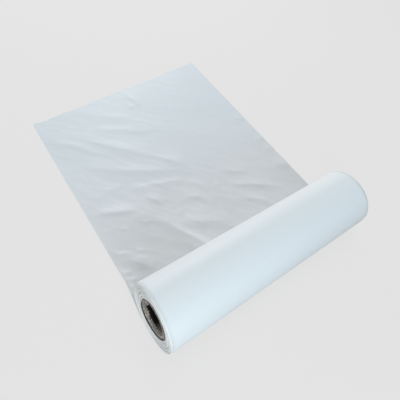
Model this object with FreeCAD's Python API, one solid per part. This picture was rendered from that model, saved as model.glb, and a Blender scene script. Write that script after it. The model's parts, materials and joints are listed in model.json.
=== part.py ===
import FreeCAD, Part
import math
import os

V = FreeCAD.Vector

# Roll of thin compostable film bags on a paper core, lying on its side with the
# first bag pulled out flat along +Y.  Millimetres.  The origin is on the axis of
# the core, midway along the roll: +X runs along the core, +Z is up.

# ---- driving sizes ----
web_width = 305.0         # a bag's width, which is the roll's length
roll_diameter = 77.0
flat_spot_sag = 0.25      # how far the soft roll settles on what it lies on
core_bore = 38.1          # spindle bore of the paper tube
core_wall = 4.3
core_inset = 0.6          # the tube ends this far inside the film at each end
core_chamfer = 0.7        # crushed outer corner of the tube's cut ends
wind_clearance = 0.1      # first turn of film to the tube, on the radius

turn_pitch = 3.0          # one step of the spiral seen on the roll's ends
turn_gap = 0.7            # width of the groove between two steps
turn_relief = 0.8         # depth of that groove
first_turn_land = 1.0     # plain film between the tube and the groove
rim_land = 1.4            # plain film between the groove and the outside

tail_reach = 358.0        # roll axis to the middle of the free edge
tail_skew = 34.0          # how much further the free edge reaches at +X
film_thickness = 0.4      # stands for the two plies of a bag
nip_front = 4.0           # flat strip under the roll, before its axis
nip_back = 14.0           # and behind it, where the tail starts
grid_step = 10.0          # spacing of the points that shape the tail

# ---- worked out from them ----
roll_r = roll_diameter / 2
core_r = core_bore / 2 + core_wall
wound_r = core_r + wind_clearance
half_web = web_width / 2
floor_z = flat_spot_sag - roll_r


def tube(radius, start, length):
    return Part.makeCylinder(radius, length, V(start, 0, 0), V(1, 0, 0))


# ---- paper core: a plain tube, its outer corners crushed ----
def core_tube():
    length = web_width - 2 * core_inset
    start = -length / 2
    body = tube(core_r, start, length).cut(tube(core_bore / 2, start, length))
    corners = []
    for edge in body.Edges:
        circle = edge.Curve
        if isinstance(circle, Part.Circle) and abs(circle.Radius - core_r) < 1e-6:
            corners.append(edge)
    return body.makeChamfer(core_chamfer, corners)


# ---- wound turns: the spiral is two sets of half circles about two centres ----
def half_turn(radius, turn, grow):
    # one half circle in the YZ plane; even ones rise from bottom to top on +Y
    centre_z = turn_pitch / 4 if turn % 2 == 0 else -turn_pitch / 4
    side = 1 if turn % 2 == 0 else -1
    r = radius + grow
    begin = V(0, 0, centre_z - side * r)
    middle = V(0, side * r, centre_z)
    end = V(0, 0, centre_z + side * r)
    return Part.Arc(begin, middle, end).toShape()


def spiral_groove():
    # the groove that one turn leaves beside the next, as deep as turn_relief
    first_r = wound_r + first_turn_land + turn_pitch / 4
    last_r = roll_r - rim_land - turn_gap - turn_pitch / 4
    turns = int((last_r - first_r) / (turn_pitch / 2)) + 1
    inner = [half_turn(first_r + turn * turn_pitch / 2, turn, 0) for turn in range(turns)]
    outer = [half_turn(first_r + turn * turn_pitch / 2, turn, turn_gap) for turn in range(turns)]
    ends = [
        Part.makeLine(inner[0].Vertexes[0].Point, outer[0].Vertexes[0].Point),
        Part.makeLine(inner[-1].Vertexes[-1].Point, outer[-1].Vertexes[-1].Point),
    ]
    outline = Part.Wire(Part.__sortEdges__(inner + outer + ends))
    return Part.Face(outline).extrude(V(turn_relief, 0, 0))


def wound_turns():
    body = tube(roll_r, -half_web, web_width).cut(tube(wound_r, -half_web, web_width))
    below = Part.makeBox(web_width, roll_diameter, roll_r, V(-half_web, -roll_r, floor_z - roll_r))
    body = body.cut(below)
    groove = spiral_groove()
    for start in (-half_web, half_web - turn_relief):
        body = body.cut(groove.translated(V(start, 0, 0)))
    return body


# ---- tail: the first bag, laid flat with the soft folds of being wound ----
def ridge(x, y, start, end, height, width):
    # a soft fold that runs from start to end and dies away past both
    run = end.sub(start)
    length = run.Length
    along = ((x - start.x) * run.x + (y - start.y) * run.y) / length
    across = ((x - start.x) * run.y - (y - start.y) * run.x) / length
    past = max(0.0, -along, along - length)
    return height * math.exp(-(across / width) ** 2 - (past / (2 * width)) ** 2)


def fold_height(x, y):
    rise = ridge(x, y, V(-130, 296), V(-60, 236), 2.2, 14)
    rise += ridge(x, y, V(-60, 236), V(5, 176), 1.6, 13)
    rise += ridge(x, y, V(-62, 322), V(-8, 272), 1.4, 14)
    rise += ridge(x, y, V(-96, 226), V(-10, 172), 1.6, 13)
    rise += ridge(x, y, V(-132, 150), V(-84, 118), 1.8, 14)
    rise += ridge(x, y, V(-74, 124), V(-32, 60), 2.2, 14)
    rise += ridge(x, y, V(-142, 88), V(-112, 62), 1.4, 13)
    rise += ridge(x, y, V(20, 250), V(96, 196), 0.9, 18)
    settle = min(1.0, (y - nip_back) / (2 * nip_back))
    return rise * settle


def tail_surface(lift):
    across = int(web_width / grid_step)
    along = int((tail_reach - nip_back) / grid_step)
    rows = []
    for i in range(across + 1):
        x = -half_web + web_width * i / across
        run = tail_reach + tail_skew * x / web_width - nip_back
        row = []
        for j in range(along + 1):
            y = nip_back + run * j / along
            row.append(V(x, y, floor_z + lift + fold_height(x, y)))
        rows.append(row)
    surface = Part.BSplineSurface()
    surface.interpolate(rows)
    return surface.toShape()


def tail():
    bottom = tail_surface(0)
    top = tail_surface(film_thickness)
    walls = []
    for low, high in zip(bottom.Edges, top.Edges):
        walls.append(Part.makeRuledSurface(low, high))
    shell = Part.makeShell([bottom, top] + walls)
    shell.sewShape()
    body = Part.Solid(shell)
    if body.Volume < 0:
        body.reverse()
    strip = Part.makeBox(web_width, nip_front + nip_back, film_thickness,
                         V(-half_web, -nip_front, floor_z))
    return body.fuse(strip)


def bag_web():
    return wound_turns().fuse(tail()).removeSplitter()


os.makedirs("parts", exist_ok=True)
core_tube().exportStep("parts/core_tube.step")
bag_web().exportStep("parts/bag_web.step")
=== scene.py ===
import json
import math

import bpy
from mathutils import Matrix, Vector, noise


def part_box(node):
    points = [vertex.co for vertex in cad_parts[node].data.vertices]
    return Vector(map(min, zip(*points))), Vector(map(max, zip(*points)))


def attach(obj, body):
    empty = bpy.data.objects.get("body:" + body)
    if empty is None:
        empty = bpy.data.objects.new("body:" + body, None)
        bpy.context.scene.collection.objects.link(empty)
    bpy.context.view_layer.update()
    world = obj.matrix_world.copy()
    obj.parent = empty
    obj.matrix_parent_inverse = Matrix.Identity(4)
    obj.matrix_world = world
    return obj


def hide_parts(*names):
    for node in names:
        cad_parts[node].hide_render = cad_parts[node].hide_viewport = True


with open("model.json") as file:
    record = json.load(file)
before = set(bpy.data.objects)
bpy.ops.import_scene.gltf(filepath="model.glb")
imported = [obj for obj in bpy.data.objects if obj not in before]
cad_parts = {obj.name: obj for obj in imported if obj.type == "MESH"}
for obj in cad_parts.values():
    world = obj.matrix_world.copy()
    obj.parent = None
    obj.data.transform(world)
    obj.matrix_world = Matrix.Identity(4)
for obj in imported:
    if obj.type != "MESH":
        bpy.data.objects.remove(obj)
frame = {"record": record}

scene = bpy.context.scene
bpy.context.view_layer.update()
mm = 0.001


# ---------------------------------------------------------------------------
# Paper core: a tube of grey-brown board wound as a helix from glued plies and
# sawn off, so its ends show the plies and its bore shows their seam.  The film
# is wound straight onto it, and it lies a little inside the film at each end.
# ---------------------------------------------------------------------------
core_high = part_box("core_tube")[1]
core_end = core_high[0]
core_outside = core_high[2]
core_inside = frame["record"]["mounts"][0]["dims"]["r_mm"] * mm
crushed_corner = 0.7 * mm       # the outer corner of the sawn ends
half_crushed = 0.3 * mm         # partway down that corner
worn_corner = 0.22 * mm         # the inner corner
face_wear = 0.05 * mm
saw_roughness = 0.22 * mm
ply_thickness = 0.62 * mm
ply_edge = 0.10 * mm            # how far the plies stand out of the sawn ends
ply_lead = 61 * mm              # how far the seam runs along the bore in one turn
ply_step = 0.12 * mm
seam_depth = 0.35 * mm
seam_half_width = 0.9 * mm
bore_dent = 0.15 * mm
mouth_depth = 46 * mm           # how far the eye can follow the bore's wall
core_points = 176               # round each ring of the mesh
sharp_bend = math.radians(50)   # edges that bend more than this aren't smoothed


def add_piece(name, points, faces):
    mesh = bpy.data.meshes.new(name)
    mesh.from_pydata(points, [], faces)
    mesh.validate()
    mesh.shade_smooth()
    mesh.set_sharp_from_angle(angle=sharp_bend)
    piece = bpy.data.objects.new(name, mesh)
    scene.collection.objects.link(piece)
    return piece


def add_ring_piece(name, rows, around):
    # rows is a closed path of functions of the turn angle; each row is one ring
    points = []
    for row in rows:
        for step in range(around):
            points.append(row(2 * math.pi * step / around))
    faces = []
    for i in range(len(rows)):
        this, following = i * around, (i + 1) % len(rows) * around
        for step in range(around):
            beside = (step + 1) % around
            faces.append((this + step, this + beside, following + beside, following + step))
    return add_piece(name, points, faces)


def at(x, radius, turn):
    # turn is counted from underneath, up over the back (+Y) of the roll
    return (x, radius * math.sin(turn), -radius * math.cos(turn))


def spread(first, last, count):
    return [first + (last - first) * i / (count - 1) for i in range(count)]


def bore_ring(x):
    def point(turn):
        seam = (x / ply_lead - turn / (2 * math.pi)) % 1.0
        off_seam = min(seam, 1 - seam) * ply_lead / seam_half_width
        step = seam_depth * math.exp(-off_seam ** 2) + ply_step * seam
        # shallow dents, some 30 mm long
        dent = bore_dent * noise.noise(Vector(at(x * 30, 2.2, turn)))
        return at(x, core_inside + step + dent, turn)
    return point


def core_end_ring(side, radius, inset):
    def point(turn):
        ply = ply_edge * math.sin((radius - core_inside) / ply_thickness * 2 * math.pi)
        grain = Vector(at(side, radius / mm * 0.9, turn))
        chip = saw_roughness * noise.fractal(grain, 1.0, 2.0, 3)
        return at(side * (core_end - inset) + ply + chip, radius, turn)
    return point


def outer_core_ring(x):
    return lambda turn: at(x, core_outside - face_wear, turn)


core_rows = []
for side in (-1, 1):
    # the rings lie close together in the mouth of the bore and further apart behind it
    bore_xs = spread(core_end - 0.5 * mm, core_end - mouth_depth, 58)
    bore_xs += spread(core_end - mouth_depth - 3 * mm, 3 * mm, 34)
    bore_rows = [bore_ring(side * x) for x in bore_xs]
    wall_radii = spread(core_inside + 0.25 * mm, core_outside - crushed_corner, 12)
    end_rows = [core_end_ring(side, core_inside + face_wear, worn_corner)]
    end_rows += [core_end_ring(side, radius, 0.0) for radius in wall_radii]
    end_rows += [core_end_ring(side, core_outside - half_crushed, half_crushed)]
    end_rows += [core_end_ring(side, core_outside - face_wear, crushed_corner)]
    if side < 0:
        core_rows += bore_rows[::-1] + end_rows
        core_rows += [outer_core_ring(x) for x in spread(-core_end + 2 * mm, core_end - 2 * mm, 12)]
    else:
        core_rows += end_rows[::-1] + bore_rows
core = add_ring_piece("paper_core", core_rows, core_points)


def new_material(name):
    material = bpy.data.materials.new(name)
    material.use_nodes = True
    return material, material.node_tree.nodes, material.node_tree.links


def set_sockets(node, values):
    for socket, value in values.items():
        node.inputs[socket].default_value = value
    return node


def add_node(nodes, kind, values=None, **settings):
    node = nodes.new("ShaderNode" + kind)
    for name, setting in settings.items():
        setattr(node, name, setting)
    return set_sockets(node, values or {})


dark_fibre = (0.15, 0.138, 0.124, 1)
pale_fibre = (0.64, 0.62, 0.59, 1)
painted_bore_shade = (0.006, 0.005, 0.004, 1)
painted_lit_bore_front = (0.32, 0.275, 0.225, 1)
upper_back = (0.0, 0.84, 0.54)

board, nodes, links = new_material("grey_board")
shader = set_sockets(nodes["Principled BSDF"], {"Specular IOR Level": 0.2, "Roughness": 0.92})
place = add_node(nodes, "TexCoord")
# long pale fibres of the board; inside the bore they show only as far as the light reaches from the mouth,
# and past that the wall has painted shade
stretched = add_node(nodes, "Mapping", {"Scale": (1.0, 0.5, 0.5)})
fibre = add_node(nodes, "TexNoise", {"Scale": 900, "Detail": 6, "Distortion": 1.2})
tone = add_node(nodes, "ValToRGB")
tone.color_ramp.elements[0].position = 0.40
tone.color_ramp.elements[0].color = dark_fibre
tone.color_ramp.elements[1].position = 0.64
tone.color_ramp.elements[1].color = pale_fibre
# painted shade: just inside the mouth the bore turns dark; along its front it has painted light, a lit
# brown
apart = add_node(nodes, "SeparateXYZ")
lit_front_mask = add_node(nodes, "MapRange", {"From Min": -0.05 * core_inside, "From Max": -0.75 * core_inside})
painted_bore_tone = add_node(nodes, "Mix", {"A": painted_bore_shade, "B": painted_lit_bore_front}, data_type="RGBA")
from_middle = add_node(nodes, "Math", operation="ABSOLUTE")
ragged = add_node(nodes, "Math", {1: 7 * mm}, operation="MULTIPLY_ADD")
lit_reach_mask = add_node(nodes, "MapRange", {"From Min": core_end - 0.3 * mm, "From Max": core_end + 1.3 * mm},
                  interpolation_type="SMOOTHSTEP")
colour = add_node(nodes, "Mix", data_type="RGBA")
# on the upper back of the bore the light reaches further in, so the painted shade starts deeper there
back = add_node(nodes, "VectorMath", {1: upper_back}, operation="DOT_PRODUCT")
lit_further_back = add_node(nodes, "MapRange", {"From Min": 0.42 * core_inside, "From Max": 0.78 * core_inside,
                                       "To Max": 14 * mm})
lit_depth = add_node(nodes, "Math", operation="ADD")
links.new(place.outputs["Object"], stretched.inputs["Vector"])
links.new(stretched.outputs["Vector"], fibre.inputs["Vector"])
links.new(fibre.outputs["Fac"], tone.inputs["Fac"])
links.new(place.outputs["Object"], apart.inputs["Vector"])
links.new(apart.outputs["X"], from_middle.inputs[0])
links.new(fibre.outputs["Fac"], ragged.inputs[0])
links.new(from_middle.outputs["Value"], ragged.inputs[2])
links.new(place.outputs["Object"], back.inputs[0])
links.new(back.outputs["Value"], lit_further_back.inputs["Value"])
links.new(ragged.outputs["Value"], lit_depth.inputs[0])
links.new(lit_further_back.outputs["Result"], lit_depth.inputs[1])
links.new(lit_depth.outputs["Value"], lit_reach_mask.inputs["Value"])
links.new(apart.outputs["Y"], lit_front_mask.inputs["Value"])
links.new(lit_front_mask.outputs["Result"], painted_bore_tone.inputs["Factor"])
links.new(painted_bore_tone.outputs["Result"], colour.inputs["A"])
links.new(tone.outputs["Color"], colour.inputs["B"])
links.new(lit_reach_mask.outputs["Result"], colour.inputs["Factor"])
links.new(colour.outputs["Result"], shader.inputs["Base Color"])
core.data.materials.append(board)
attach(core, "root")
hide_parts("core_tube")


# ---------------------------------------------------------------------------
# Wound film: some hundreds of turns of thin milky film, wound tight.  Each end
# shows the film's edges as rings that step in and out where the turns have
# slipped; the outermost few are loose and stand proud.
# ---------------------------------------------------------------------------
web_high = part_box("bag_web")[1]
half_web = web_high[0]
roll_radius = web_high[2]
floor_z = frame["record"]["mounts"][1]["pos_m"][2]
film = 0.15 * mm
film_bore = core_outside + 0.5 * mm
off_core = 0.4 * mm             # the soft roll has sunk this far round its core
seen_turn = 2.4 * mm            # from one ring that shows on the ends to the next
ring_wander = 0.3 * mm
groove_half_width = 0.38        # of seen_turn
proud = 0.3 * mm                # the cut ends stand this far past the web's width
drawn_inside = 0.2 * mm         # above the core the film lies this far inside the core's end
folded_over = 0.6 * mm          # and where it has slumped, up to this far over it
deepest_overhang = 3.4 * mm
lip_depth = 0.7 * mm            # of the hollows between the rings
hanging_depth = 1.2 * mm        # and this much more where the turns hang loose
loose_flare = 1.3 * mm
rim_drop = 1.2 * mm
shoulder_drop = 0.8 * mm
shoulder_width = 5 * mm
shoulder_run = 4 * mm           # the shoulder drops by shoulder_drop over this length
rim_inset = 1.1 * mm            # from the end to the first ring of the outside
swell_height = 0.16 * mm
swell_room = 0.1 * mm           # keeps the swell within the roll's size
sunk_turn = math.radians(26)    # the core has come up away from the film here
darkest_turn = math.radians(50)
end_rings = 120
wound_points = 300


def progress(value, start, end):
    # how far the value has come from start to end, from 0 to 1 and level past both
    return max(0.0, min(1.0, (value - start) / (end - start)))


def towards(turn, middle, width):
    # 1 at the middle and fading to both sides; middle and width are in degrees
    return math.exp(-((turn - math.radians(middle)) / math.radians(width)) ** 2)


def through_wall(radius):
    # 0 at the core, 1 on the outside
    return (radius - film_bore) / (roll_radius - film_bore)


def slip(turns, side):
    # how far the edge of the web stands out of the end, along the winding
    slow = noise.noise(Vector((turns * 0.21, side * 7.3, 0.4)))
    quick = noise.noise(Vector((turns * 0.9, side * 3.1, 5.2)))
    return (0.9 * slow + 0.55 * quick) * mm


def hanging(turn):
    # towards the tail the turns hang loose, some millimetres apart
    return towards(turn, 105, 34)


def overhang(radius, turn):
    # there the innermost turns have slumped in over the core's end
    inner = progress(through_wall(radius), 0.3, 0.0)
    return deepest_overhang * towards(turn, 96, 38) * inner


def turn_count(side, radius, turn):
    wander = ring_wander * noise.noise(Vector(at(side * 3.0, radius / mm / 9, turn)))
    return (radius + wander - film_bore) / seen_turn - turn / (2 * math.pi)


def groove(side, radius, turn):
    # the hollow between two lips of film, from 0 on a lip to 1 at the bottom
    count = turn_count(side, radius, turn)
    within = count % 1.0
    turns = math.floor(count) + turn / (2 * math.pi)
    strength = 0.75 + 0.5 * noise.noise(Vector((turns * 2.3, side * 5.0, 9.0)))
    return strength * max(0.0, 1 - abs(within - 0.5) / groove_half_width)


def settled(point):
    # the soft roll is flat where it lies on its own film
    x, y, z = point
    return (x, y, max(z, floor_z + film))


def wound_end_ring(side, radius):
    depth = through_wall(radius)
    loose = progress(depth, 0.6, 1.0)
    rim = rim_drop * progress(depth, 0.92, 1.0) ** 2

    def point(turn):
        turns = math.floor(turn_count(side, radius, turn)) + turn / (2 * math.pi)
        hollow = lip_depth + hanging_depth * hanging(turn) * (1 - depth) ** 2
        hollow *= groove(side, radius, turn) * progress(depth, 0.0, 0.06)
        flare = loose_flare * loose * (0.5 + 0.5 * noise.noise(Vector((turns * 1.7, side, 1.0))))
        out = slip(turns, side) + flare - hollow
        reach = half_web + proud + out - rim
        # above, the turns next to the core are drawn in level with it; underneath, the core
        # has come up in the soft film and leaves a gap
        slumped = overhang(radius, turn)
        above = min(1.0, 1.3 * (0.5 - 0.5 * math.cos(turn - sunk_turn)))
        drawn = above * progress(depth, 0.35, 0.0) * progress(slumped, 1.2 * mm, 0.0)
        reach += (core_end - drawn_inside - reach) * drawn
        if slumped > drawn_inside:
            reach = max(reach, core_end + min(slumped, folded_over))
        x, y, z = at(side * reach, radius - slumped, turn)
        return settled((x, y, z - off_core * (1 - depth)))
    return point


def end_shade(side, radius):
    # how deep the light is lost between the turns: 0 on the outside, 1 in a gap
    depth = through_wall(radius)

    def shade(turn):
        beside_core = math.exp(-(depth / 0.035) ** 2)
        beside_core *= max(0.6, 1 - overhang(radius, turn) / (1.5 * mm))
        beside_core *= min(1.0, 0.12 + 0.7 * (1 + math.cos(turn - darkest_turn)))
        sagging = hanging(turn) * max(0.0, 1 - abs(depth - 0.25) / 0.25)
        between = (0.42 + 0.45 * sagging) * groove(side, radius, turn)
        return min(1.0, beside_core + between)
    return shade


def outside_shade(x):
    # painted shade on both rims, the right one darker, and on the underside of the roll, which faces the
    # floor
    painted_right_rim_shade, painted_left_rim_shade, painted_underside_shade = 0.3, 0.13, 0.2
    if x > half_web - 1.5 * mm:
        rim = painted_right_rim_shade
    else:
        from_left = half_web - rim_inset + x
        rim = painted_left_rim_shade * max(0.0, 1 - from_left / (3.4 * mm))
    return lambda turn: max(rim, painted_underside_shade * max(0.0, math.cos(turn) + 0.15))


def outside_ring(x):
    # the outer turns shrink a little over their edges and round the roll's shoulders
    onto_shoulder = max(0.0, (abs(x) - half_web + shoulder_width) / shoulder_run)
    shoulder = shoulder_drop * onto_shoulder ** 2

    def point(turn):
        across = Vector((x * 9, math.sin(turn) * 1.3, math.cos(turn) * 1.3))
        swell = swell_height * noise.fractal(across, 1.0, 2.0, 2)
        return settled(at(x, roll_radius - swell_room + swell - shoulder, turn))
    return point


def film_bore_ring(x):
    def point(turn):
        along, y, z = at(x, film_bore, turn)
        return (along, y, z - off_core)
    return point


def in_the_dark(turn):
    return 1.0


# of the film's own bore only a little is ever seen, past the core's ends
radii = spread(film_bore, roll_radius - shoulder_drop, end_rings)
film_bore_xs = (-0.5 * half_web, -half_web + 3 * mm, -half_web + 0.2 * mm)
shoulder_xs = spread(half_web - rim_inset, half_web - shoulder_width, 6)
outside_xs = [-x for x in shoulder_xs] + spread(-half_web + 8 * mm, half_web - 8 * mm, 64)
outside_xs += reversed(shoulder_xs)
# each ring with its shade, and 1 for the cut edges of the turns or 0 for the film's face
wound_rings = [(film_bore_ring(x), in_the_dark, 1.0) for x in film_bore_xs]
wound_rings += [(wound_end_ring(-1, radius), end_shade(-1, radius), 1.0) for radius in radii]
wound_rings += [(outside_ring(x), outside_shade(x), 0.0) for x in outside_xs]
wound_rings += [(wound_end_ring(1, radius), end_shade(1, radius), 1.0) for radius in reversed(radii)]
wound_rings += [(film_bore_ring(-x), in_the_dark, 1.0) for x in reversed(film_bore_xs)]
wound = add_ring_piece("wound_film", [ring for ring, shade, cut in wound_rings], wound_points)


def add_mark(piece, name, values):
    marks = piece.data.attributes.new(name, "FLOAT", "POINT")
    marks.data.foreach_set("value", values)


turn_angles = [2 * math.pi * step / wound_points for step in range(wound_points)]
add_mark(wound, "between_turns", [shade(turn) for ring, shade, cut in wound_rings for turn in turn_angles])
add_mark(wound, "cut_edge", [cut for ring, shade, cut in wound_rings for turn in turn_angles])


def make_film_haze():
    # milky film: faint clouds where it was blown thicker, and fine crinkles across it
    group = bpy.data.node_groups.new("film_haze", "ShaderNodeTree")
    for name, kind in (("Vector", "Vector"), ("Thin Colour", "Color"), ("Cloudy Colour", "Color"),
                       ("Cloud Scale", "Float"), ("Crinkle Scale", "Float"), ("Roughness", "Float")):
        group.interface.new_socket(name=name, in_out="INPUT", socket_type="NodeSocket" + kind)
    for name, kind in (("Color", "Color"), ("Roughness", "Float"), ("Height", "Float")):
        group.interface.new_socket(name=name, in_out="OUTPUT", socket_type="NodeSocket" + kind)
    nodes, links = group.nodes, group.links
    given, result = nodes.new("NodeGroupInput"), nodes.new("NodeGroupOutput")
    cloud = add_node(nodes, "TexNoise", {"Detail": 3})
    colour = add_node(nodes, "Mix", data_type="RGBA")
    crinkles = add_node(nodes, "TexNoise", {"Detail": 4, "Distortion": 0.6})
    worn = add_node(nodes, "Math", {1: 0.12}, operation="MULTIPLY_ADD")
    links.new(given.outputs["Vector"], cloud.inputs["Vector"])
    links.new(given.outputs["Cloud Scale"], cloud.inputs["Scale"])
    links.new(given.outputs["Vector"], crinkles.inputs["Vector"])
    links.new(given.outputs["Crinkle Scale"], crinkles.inputs["Scale"])
    links.new(cloud.outputs["Fac"], colour.inputs["Factor"])
    links.new(given.outputs["Thin Colour"], colour.inputs["A"])
    links.new(given.outputs["Cloudy Colour"], colour.inputs["B"])
    links.new(crinkles.outputs["Fac"], worn.inputs[0])
    links.new(given.outputs["Roughness"], worn.inputs[2])
    links.new(colour.outputs["Result"], result.inputs["Color"])
    links.new(worn.outputs["Value"], result.inputs["Roughness"])
    links.new(crinkles.outputs["Fac"], result.inputs["Height"])
    return group


film_haze = make_film_haze()
thin_turns = (0.708, 0.816, 0.882, 1)
cloudy_turns = (0.731, 0.834, 0.894, 1)
cut_film = (0.88, 0.935, 0.945, 1)
lost_light = (0.045, 0.050, 0.045, 1)

milky, nodes, links = new_material("wound_milky_film")
shader = set_sockets(nodes["Principled BSDF"], {"Specular IOR Level": 0.18})
place = add_node(nodes, "TexCoord")
haze = add_node(nodes, "Group", node_tree=film_haze)
set_sockets(haze, {"Thin Colour": thin_turns, "Cloudy Colour": cloudy_turns,
                   "Cloud Scale": 14, "Crinkle Scale": 60, "Roughness": 0.36})
bump = add_node(nodes, "Bump", {"Strength": 0.12, "Distance": 0.4 * mm})
# painted shade: in the gaps between the turns, beside the core, in the film's bore, on both rims and on the
# underside
between = add_node(nodes, "Attribute", attribute_name="between_turns")
# many cut edges side by side look whiter than the face of the film
cut_edge = add_node(nodes, "Attribute", attribute_name="cut_edge")
edge_tone = add_node(nodes, "Mix", {"B": cut_film}, data_type="RGBA")
# painted light: the film is whiter towards the back and the top of the roll, where more light falls
apart = add_node(nodes, "SeparateXYZ")
painted_back_light_mask = add_node(nodes, "MapRange", {"From Min": -20 * mm, "From Max": 34 * mm})
whiter = add_node(nodes, "ValToRGB")
whiter.color_ramp.elements[0].color = (1.0, 1.0, 1.0, 1)
whiter.color_ramp.elements[1].color = (1.24, 1.13, 1.07, 1)
halfway = whiter.color_ramp.elements.new(0.5)
halfway.color = (1.0, 0.985, 0.965, 1)
lit_back_tone = add_node(nodes, "Mix", {"Factor": 1.0}, data_type="RGBA", blend_type="MULTIPLY")
colour = add_node(nodes, "Mix", {"B": lost_light}, data_type="RGBA")
links.new(place.outputs["Object"], haze.inputs["Vector"])
links.new(place.outputs["Object"], apart.inputs["Vector"])
links.new(apart.outputs["Y"], painted_back_light_mask.inputs["Value"])
links.new(painted_back_light_mask.outputs["Result"], whiter.inputs["Fac"])
links.new(haze.outputs["Color"], lit_back_tone.inputs["A"])
links.new(whiter.outputs["Color"], lit_back_tone.inputs["B"])
links.new(lit_back_tone.outputs["Result"], edge_tone.inputs["A"])
links.new(cut_edge.outputs["Fac"], edge_tone.inputs["Factor"])
links.new(edge_tone.outputs["Result"], colour.inputs["A"])
links.new(between.outputs["Fac"], colour.inputs["Factor"])
links.new(colour.outputs["Result"], shader.inputs["Base Color"])
links.new(haze.outputs["Roughness"], shader.inputs["Roughness"])
links.new(haze.outputs["Height"], bump.inputs["Height"])
links.new(bump.outputs["Normal"], shader.inputs["Normal"])
wound.data.materials.append(milky)
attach(wound, "root")
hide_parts("bag_web")


# ---------------------------------------------------------------------------
# Loose bag: the first bag of the web, two plies of the same film, pulled out
# from under the roll and laid flat.  It keeps the soft folds and crinkles of
# being wound and handled, and its free edge is torn along a perforation.
# ---------------------------------------------------------------------------
tail_skew = 34 * mm             # how much further the free edge reaches at +X
tail_reach = web_high[1] - tail_skew / 2
tail_front = -3 * mm            # where it joins the web under the roll
drawn_in = 3.8 * mm             # by the wrinkles, along the left edge
cell = 1.62 * mm                # of the mesh
cells_across = round(2 * half_web / cell)
cells_along = round(tail_reach / cell)

# Folds and creases are in millimetres.  A soft fold has its start, its end, its height and
# its width, and dies away past both ends.
soft_folds = [
    ((-130, 296), (-60, 236), 0.8, 14),
    ((-60, 236), (-8, 188), 1.6, 13),
    ((-62, 322), (-8, 272), 0.9, 14),
    ((-96, 226), (-10, 172), 1.6, 13),
    ((-132, 150), (-92, 124), 1.4, 14),
    ((-74, 124), (-32, 60), 2.2, 14),
    ((-142, 88), (-112, 62), 1.4, 13),
    ((20, 250), (96, 196), 0.9, 18),
]
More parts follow.
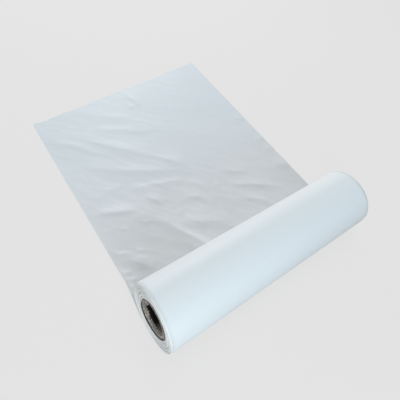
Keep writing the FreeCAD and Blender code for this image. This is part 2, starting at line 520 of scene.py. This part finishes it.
# A crease has its path from its left end, its height, its width on the far side and its
# width on the near side.
creases = [
    # the long one from the free corner to the middle, and the shorter ones beside it
    (((-132, 311), (-104, 287), (-91, 272), (-69, 249), (-55, 237),
      (-44, 225), (-32, 216), (-13, 192), (1, 173)), 1.5, 24, 4.4),
    (((-22, 206), (-9, 190), (0, 180), (6, 171)), 1.2, 14, 4.6),
    (((-145, 301), (-130, 289), (-116, 275), (-97, 253), (-82, 238)), 1.3, 8, 6),
    # lighter ones towards the free edge
    (((-83, 300), (-59, 286), (-42, 278), (-19, 267)), 1.1, 6.5, 9),
    (((-46, 276), (-23, 263), (-3, 254)), 0.8, 9, 4),
    (((-66, 322), (-50, 313), (-28, 303), (-13, 282)), 0.35, 4, 8),
    (((-6, 350), (1, 342), (6, 324), (12, 307)), 0.9, 9, 4),
    (((-7, 324), (-3, 317), (0, 310)), 0.5, 3.5, 5),
    # across the middle
    (((-130, 241), (-105, 223), (-90, 212), (-67, 199), (-42, 186), (-10, 171)), 1.4, 8, 6),
    (((-92, 178), (-74, 172), (-55, 167), (-40, 162), (-21, 156), (-1, 149)), 1.1, 5, 9),
    (((-144, 175), (-127, 180), (-112, 186), (-96, 185)), 0.7, 5, 7),
    (((-106, 186), (-99, 185), (-92, 182)), 0.7, 5, 4),
    (((-74, 158), (-67, 145), (-56, 130)), 1.4, 9, 4.8),
    # at the left edge
    (((-152, 161), (-125, 152), (-111, 146), (-88, 138)), 1.9, 10, 4.4),
    (((-137, 131), (-131, 131), (-125, 128)), 0.6, 2.2, 4),
    (((-129, 126), (-123, 125), (-115, 121)), 0.6, 2.2, 4),
    (((-104, 136), (-97, 130), (-86, 124)), 0.5, 6, 6),
    (((-98, 120), (-90, 118), (-80, 118)), 0.3, 2.6, 3),
    (((-148, 97), (-138, 95), (-126, 91)), 0.6, 2.2, 4),
    (((-124, 90), (-118, 88), (-112, 85)), 0.6, 2.2, 4),
    (((-144, 86), (-133, 80), (-122, 68), (-114, 58)), 1.6, 9, 5.5),
    (((-128, 82), (-121, 77), (-115, 72)), 0.5, 2.6, 4),
    # behind the roll, left of its middle: the second is the ridge where the film gathers
    (((-112, 152), (-94, 134), (-82, 121), (-64, 91)), 0.3, 8, 12),
    (((-77, 119), (-66, 94), (-60, 81), (-48, 58), (-26, 12), (-8, -24)), 4.3, 7.5, 24),
    (((-60, 99), (-47, 92), (-27, 82), (-5, 70), (10, 61)), 2.4, 14, 9.5),
    (((-49, 113), (-44, 110), (-38, 108)), 0.7, 6, 4),
    (((-38, 122), (-22, 125), (-9, 118), (1, 96)), 0.9, 8, 4.6),
    (((-11, 151), (2, 137), (10, 120)), 0.7, 7, 5),
    # behind the roll, right of its middle
    (((21, 126), (27, 124), (33, 121)), 0.6, 3.6, 7),
    (((42, 145), (61, 132), (86, 119)), 0.8, 11, 4.6),
    (((42, 117), (64, 102), (94, 85)), 1.2, 9, 5),
    (((70, 100), (95, 84), (118, 71)), 0.9, 9, 5.5),
    (((40, 96), (60, 77), (82, 56)), 1.2, 7, 6),
    (((98, 150), (112, 140), (124, 131)), 0.3, 8, 6),
    (((104, 120), (118, 110), (130, 100)), 0.4, 8, 6),
    (((10, 112), (31, 94), (54, 76)), 0.6, 8, 6),
    # a single one further out, and small pleats along the right edge
    (((58, 219), (66, 217), (73, 213)), 0.5, 5, 5),
    (((132, 226), (143, 217), (152, 210)), 1.0, 9, 7),
    (((140, 192), (146, 187), (152, 181)), 0.3, 7, 7),
    (((136, 170), (144, 164), (152, 158)), 0.8, 9, 7),
    (((138, 148), (145, 142), (152, 136)), 0.6, 9, 8),
    (((128, 114), (140, 105), (152, 97)), 1.3, 10, 9),
    # the left edge curls up and gathers where it comes out from under the roll
    (((-152, 84), (-151, 60), (-150, 30)), 1.8, 6, 6),
    (((-152, 74), (-146, 71), (-139, 69)), 0.9, 2.2, 4),
    (((-152, 64), (-145, 60), (-137, 59)), 1.0, 2.4, 4),
    (((-152, 55), (-144, 50), (-136, 47)), 1.2, 2.6, 4),
    (((-152, 44), (-145, 40), (-138, 34)), 1.3, 3.0, 4),
]
# Where along the free edge a longer tab (+) or a notch (-) was torn, and how long it is.
tabs_and_notches = ((-148, 2.6), (-131, -1.3), (-106, 1.6), (-66, -1.6), (-44, 1.2), (9, 2.0), (38, -0.8))
tab_width = 2.4
# Painted shade darkens the film round two places behind the roll: x, y and how far out.
painted_shade_places = ((-120, 60, 90), (155, 60, 60))
settled_share = 0.55            # the part of a soft fold's height that its own weight leaves
nip_back = 14                   # the bag is flat up to here, as it is under the roll
free_of_nip = 42                # and its folds have their full height from here on
# Two directions: the fine crinkles' own, from the far left to the near right, and the one over a crease,
# from its near side to its far side, which the painted light on the creases comes from.
grain_x, grain_y = 0.69, -0.73
beyond_x, beyond_y = 0.55, 0.83


def soft_fold(x, y, start, end, height, width):
    run_x, run_y = end[0] - start[0], end[1] - start[1]
    length = math.hypot(run_x, run_y)
    along = ((x - start[0]) * run_x + (y - start[1]) * run_y) / length
    off = ((x - start[0]) * run_y - (y - start[1]) * run_x) / length
    past = max(0.0, -along, along - length)
    return height * math.exp(-(off / width) ** 2 - (past / (2 * width)) ** 2)


def crease(x, y, path, height, far_width, near_width):
    # a rounded ridge along the path, which runs out to nothing at both ends; the side that the
    # nearest leg of the path passes on gives the width
    nearest, reached, side, walked = 1e9, 0.0, 0.0, 0.0
    for (x0, y0), (x1, y1) in zip(path, path[1:]):
        run_x, run_y = x1 - x0, y1 - y0
        length = math.hypot(run_x, run_y)
        along = max(0.0, min(length, ((x - x0) * run_x + (y - y0) * run_y) / length))
        off_x, off_y = x - x0 - run_x * along / length, y - y0 - run_y * along / length
        gap = math.hypot(off_x, off_y)
        if gap < nearest:
            nearest, reached, side = gap, walked + along, run_x * off_y - run_y * off_x
        walked += length
    width = far_width if side > 0 else near_width
    if nearest > 3 * width:
        return 0.0
    fade = max(0.0, math.sin(math.pi * reached / walked)) ** 1.1
    return height * fade * math.exp(-(nearest / width) ** 1.5)


def crinkle(x, y):
    # fine crumpling, strongest where the bag was gathered: left of the middle and by the roll
    warp = 7 * noise.noise(Vector((x / 41, y / 41, 3.1)))
    across, along = grain_x * y - grain_y * x + warp, grain_x * x + grain_y * y
    fine = noise.ridged_multi_fractal(Vector((along / 46, across / 15, 0.7)), 0.9, 2.1, 3, 1.0, 1.4)
    first, second = noise.voronoi(Vector((along / 30, across / 15, 5.1)))[0][:2]
    smoothed = 0.6 * math.exp(-((x + 95) ** 2 + (y - 80) ** 2) / 45 ** 2)
    gathered = progress(y + 0.7 * x, 235, 45) - smoothed
    return (0.15 + 0.3 * gathered) * fine + (0.1 + 0.6 * gathered) * (1 - second + first)


def laid_height(x, y):
    # the creases stand higher the nearer they are to the roll, and all lie flat under it
    bunched = 1 + 0.6 * progress(y, 215, 145)
    rise = settled_share * sum(soft_fold(x, y, *fold) for fold in soft_folds)
    rise += bunched * sum(crease(x, y, *fold) for fold in creases)
    rise += crinkle(x, y)
    return rise * progress(y, nip_back, free_of_nip)


def torn_edge(x):
    # the perforation leaves small teeth, and a few longer tabs and notches
    teeth = 0.35 * noise.noise(Vector((x / 2.6, 0.3, 8.0))) + 0.5 * noise.noise(Vector((x / 19, 4.0, 2.0)))
    nicks = sum(size * math.exp(-((x - middle) / tab_width) ** 2) for middle, size in tabs_and_notches)
    return (teeth + nicks) * mm


def bag_point(across, along, lift):
    # the wrinkles draw the bag in along its left edge
    x = -half_web + 2 * half_web * across
    reach = tail_reach + tail_skew * x / (2 * half_web) + torn_edge(x / mm)
    y = tail_front + (reach - tail_front) * along
    height = laid_height(x / mm, y / mm) * mm
    gathered = drawn_in * (1 - across) * progress(y, 20 * mm, 60 * mm)
    return (x + gathered, y, floor_z + lift + height)


def laid_sheet(name, thickness):
    # closed all round: the upper face, the underside straight below it, and the edge between
    top = []
    for j in range(cells_along + 1):
        along = j / cells_along
        top += [bag_point(i / cells_across, along, thickness) for i in range(cells_across + 1)]
    points = [(x, y, z - thickness) for x, y, z in top] + top
    wide = cells_across + 1
    layer = wide * (cells_along + 1)
    faces = []
    for j in range(cells_along):
        for i in range(cells_across):
            a = j * wide + i
            faces.append((a, a + wide, a + wide + 1, a + 1))
            faces.append((layer + a, layer + a + 1, layer + a + wide + 1, layer + a + wide))
    edge = list(range(cells_across))
    edge += [j * wide + cells_across for j in range(cells_along)]
    edge += [cells_along * wide + i for i in range(cells_across, 0, -1)]
    edge += [j * wide for j in range(cells_along, 0, -1)]
    for this, following in zip(edge, edge[1:] + edge[:1]):
        faces.append((this, following, layer + following, layer + this))
    return add_piece(name, points, faces), top


def stretch_marks(top):
    # painted light and shade: the film is whiter on crease flanks that face the far side and greyer on
    # those that face the near side, most close behind the roll, with painted shade close behind the roll
    # and round two places there
    wide = cells_across + 1
    marks = []
    for j in range(cells_along + 1):
        row, above, below = j * wide, min(j + 1, cells_along) * wide, max(j - 1, 0) * wide
        for i in range(wide):
            right, left = top[row + min(i + 1, cells_across)], top[row + max(i - 1, 0)]
            far, near = top[above + i], top[below + i]
            slope_x = (right[2] - left[2]) / (right[0] - left[0])
            slope_y = (far[2] - near[2]) / (far[1] - near[1])
            x, y = top[row + i][0] / mm, top[row + i][1] / mm
            shading_strength = 0.35 + 0.65 * progress(y, 225, 125)
            painted_near_shade = 0.28 * progress(y, 200, 90)
            for shaded_x, shaded_y, size in painted_shade_places:
                painted_near_shade += 0.3 * progress(math.hypot(x - shaded_x, y - shaded_y), size, 0.0)
            marks.append(-shading_strength * (beyond_x * slope_x + beyond_y * slope_y) - painted_near_shade)
    return marks


bag, laid_top = laid_sheet("loose_bag", film)
add_mark(bag, "stretch_marks", stretch_marks(laid_top) * 2)

thin_bag = (0.593, 0.663, 0.711, 1)
cloudy_bag = (0.637, 0.707, 0.753, 1)

thin, nodes, links = new_material("loose_milky_film")
shader = set_sockets(nodes["Principled BSDF"], {"Specular IOR Level": 0.4})
place = add_node(nodes, "TexCoord")
haze = add_node(nodes, "Group", node_tree=film_haze)
set_sockets(haze, {"Thin Colour": thin_bag, "Cloudy Colour": cloudy_bag,
                   "Cloud Scale": 14, "Crinkle Scale": 95, "Roughness": 0.4})
marks = add_node(nodes, "Attribute", attribute_name="stretch_marks")
painted_shading_range = add_node(nodes, "MapRange", {"From Min": -1.0, "From Max": 1.0, "To Min": 0.72, "To Max": 1.28})
shaded_tone = add_node(nodes, "HueSaturation")
# painted shade: the bag is less blue close behind the roll, which shades it
apart = add_node(nodes, "SeparateXYZ")
painted_shade_greying = add_node(nodes, "MapRange", {"From Min": 70 * mm, "From Max": 260 * mm, "To Min": 0.5})
bump = add_node(nodes, "Bump", {"Strength": 0.35, "Distance": 0.6 * mm})
links.new(place.outputs["Object"], haze.inputs["Vector"])
links.new(haze.outputs["Color"], shaded_tone.inputs["Color"])
links.new(place.outputs["Object"], apart.inputs["Vector"])
links.new(apart.outputs["Y"], painted_shade_greying.inputs["Value"])
links.new(painted_shade_greying.outputs["Result"], shaded_tone.inputs["Saturation"])
links.new(marks.outputs["Fac"], painted_shading_range.inputs["Value"])
links.new(painted_shading_range.outputs["Result"], shaded_tone.inputs["Value"])
links.new(shaded_tone.outputs["Color"], shader.inputs["Base Color"])
links.new(haze.outputs["Roughness"], shader.inputs["Roughness"])
links.new(haze.outputs["Height"], bump.inputs["Height"])
links.new(bump.outputs["Normal"], shader.inputs["Normal"])
bag.data.materials.append(thin)
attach(bag, "root")
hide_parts("bag_web")


# ---------------------------------------------------------------------------
# Floor, light and camera: a plain pale sweep under a broad soft light, with a
# low softbox in front of the roll's near end and a brighter one behind the bag.
# ---------------------------------------------------------------------------
floor_grey = (0.55, 0.55, 0.55, 1)
sweep_white = (0.815, 0.815, 0.815, 1)
sweep_share = 0.85              # the rest of what is seen is the lit floor with its shadow
backdrop_grey = (0.7682, 0.7682, 0.7682, 1)
sky_strength = 0.38
floor_size = 12
softbox_size = 0.4


def sees_backdrop(nodes, links):
    # 1 for rays that show the backdrop, straight, in gloss or through glass, and 0 for those
    # that light the object
    ray = add_node(nodes, "LightPath")
    seen = ray.outputs["Is Camera Ray"]
    for way in ("Is Glossy Ray", "Is Transmission Ray"):
        either_way = add_node(nodes, "Math", operation="MAXIMUM")
        links.new(seen, either_way.inputs[0])
        links.new(ray.outputs[way], either_way.inputs[1])
        seen = either_way.outputs["Value"]
    return seen


bpy.ops.mesh.primitive_plane_add(size=floor_size, location=(0, 0, floor_z))
floor = bpy.context.object
floor.name = "floor"
paper, nodes, links = new_material("pale_floor")
shader = set_sockets(nodes["Principled BSDF"], {"Base Color": floor_grey, "Roughness": 1.0,
                                                "Specular IOR Level": 0.0})
glow = add_node(nodes, "Emission", {"Color": sweep_white})
share = add_node(nodes, "Math", {1: sweep_share}, operation="MULTIPLY")
either = add_node(nodes, "MixShader")
links.new(sees_backdrop(nodes, links), share.inputs[0])
links.new(share.outputs["Value"], either.inputs["Fac"])
links.new(shader.outputs["BSDF"], either.inputs[1])
links.new(glow.outputs["Emission"], either.inputs[2])
links.new(either.outputs["Shader"], nodes["Material Output"].inputs["Surface"])
floor.data.materials.append(paper)

world = bpy.data.worlds.new("studio")
scene.world = world
world.use_nodes = True
nodes, links = world.node_tree.nodes, world.node_tree.links
sky = set_sockets(nodes["Background"], {"Color": (1.0, 1.0, 1.0, 1), "Strength": sky_strength})
pale = add_node(nodes, "Background", {"Color": backdrop_grey})
either = add_node(nodes, "MixShader")
links.new(sees_backdrop(nodes, links), either.inputs["Fac"])
links.new(sky.outputs["Background"], either.inputs[1])
links.new(pale.outputs["Background"], either.inputs[2])
links.new(either.outputs["Shader"], nodes["World Output"].inputs["Surface"])

lamp = bpy.data.lights.new("ceiling_light", "SUN")
lamp.energy = 1.2
lamp.angle = math.radians(50)
ceiling = bpy.data.objects.new("ceiling_light", lamp)
scene.collection.objects.link(ceiling)

lit_point = Vector((0, 80 * mm, 0))


def add_softbox(name, place, watts):
    lamp = bpy.data.lights.new(name, "AREA")
    lamp.shape = "SQUARE"
    lamp.size = softbox_size
    lamp.energy = watts
    softbox = bpy.data.objects.new(name, lamp)
    softbox.location = place
    softbox.rotation_euler = (lit_point - softbox.location).to_track_quat("-Z", "Y").to_euler()
    scene.collection.objects.link(softbox)


add_softbox("near_softbox", place=(-0.31, -0.43, 0.09), watts=1.34)
add_softbox("far_softbox", place=(0.25, 0.95, 0.32), watts=2.45)

camera_place = (-0.2573, -0.1227, 0.4401)
camera_sight = Vector((0.52195, 0.46516, -0.71498))
camera_roll = math.radians(15.8)
camera = bpy.data.cameras.new("camera")
camera.sensor_width = 36
camera.lens = 38.03
camera.shift_x = -0.0625
camera.shift_y = -0.15
viewer = bpy.data.objects.new("camera", camera)
viewer.location = camera_place
viewer.rotation_euler = camera_sight.to_track_quat("-Z", "Y").to_euler()
viewer.rotation_euler.rotate_axis("Z", camera_roll)
scene.collection.objects.link(viewer)
scene.camera = viewer
scene.view_settings.view_transform = "Standard"
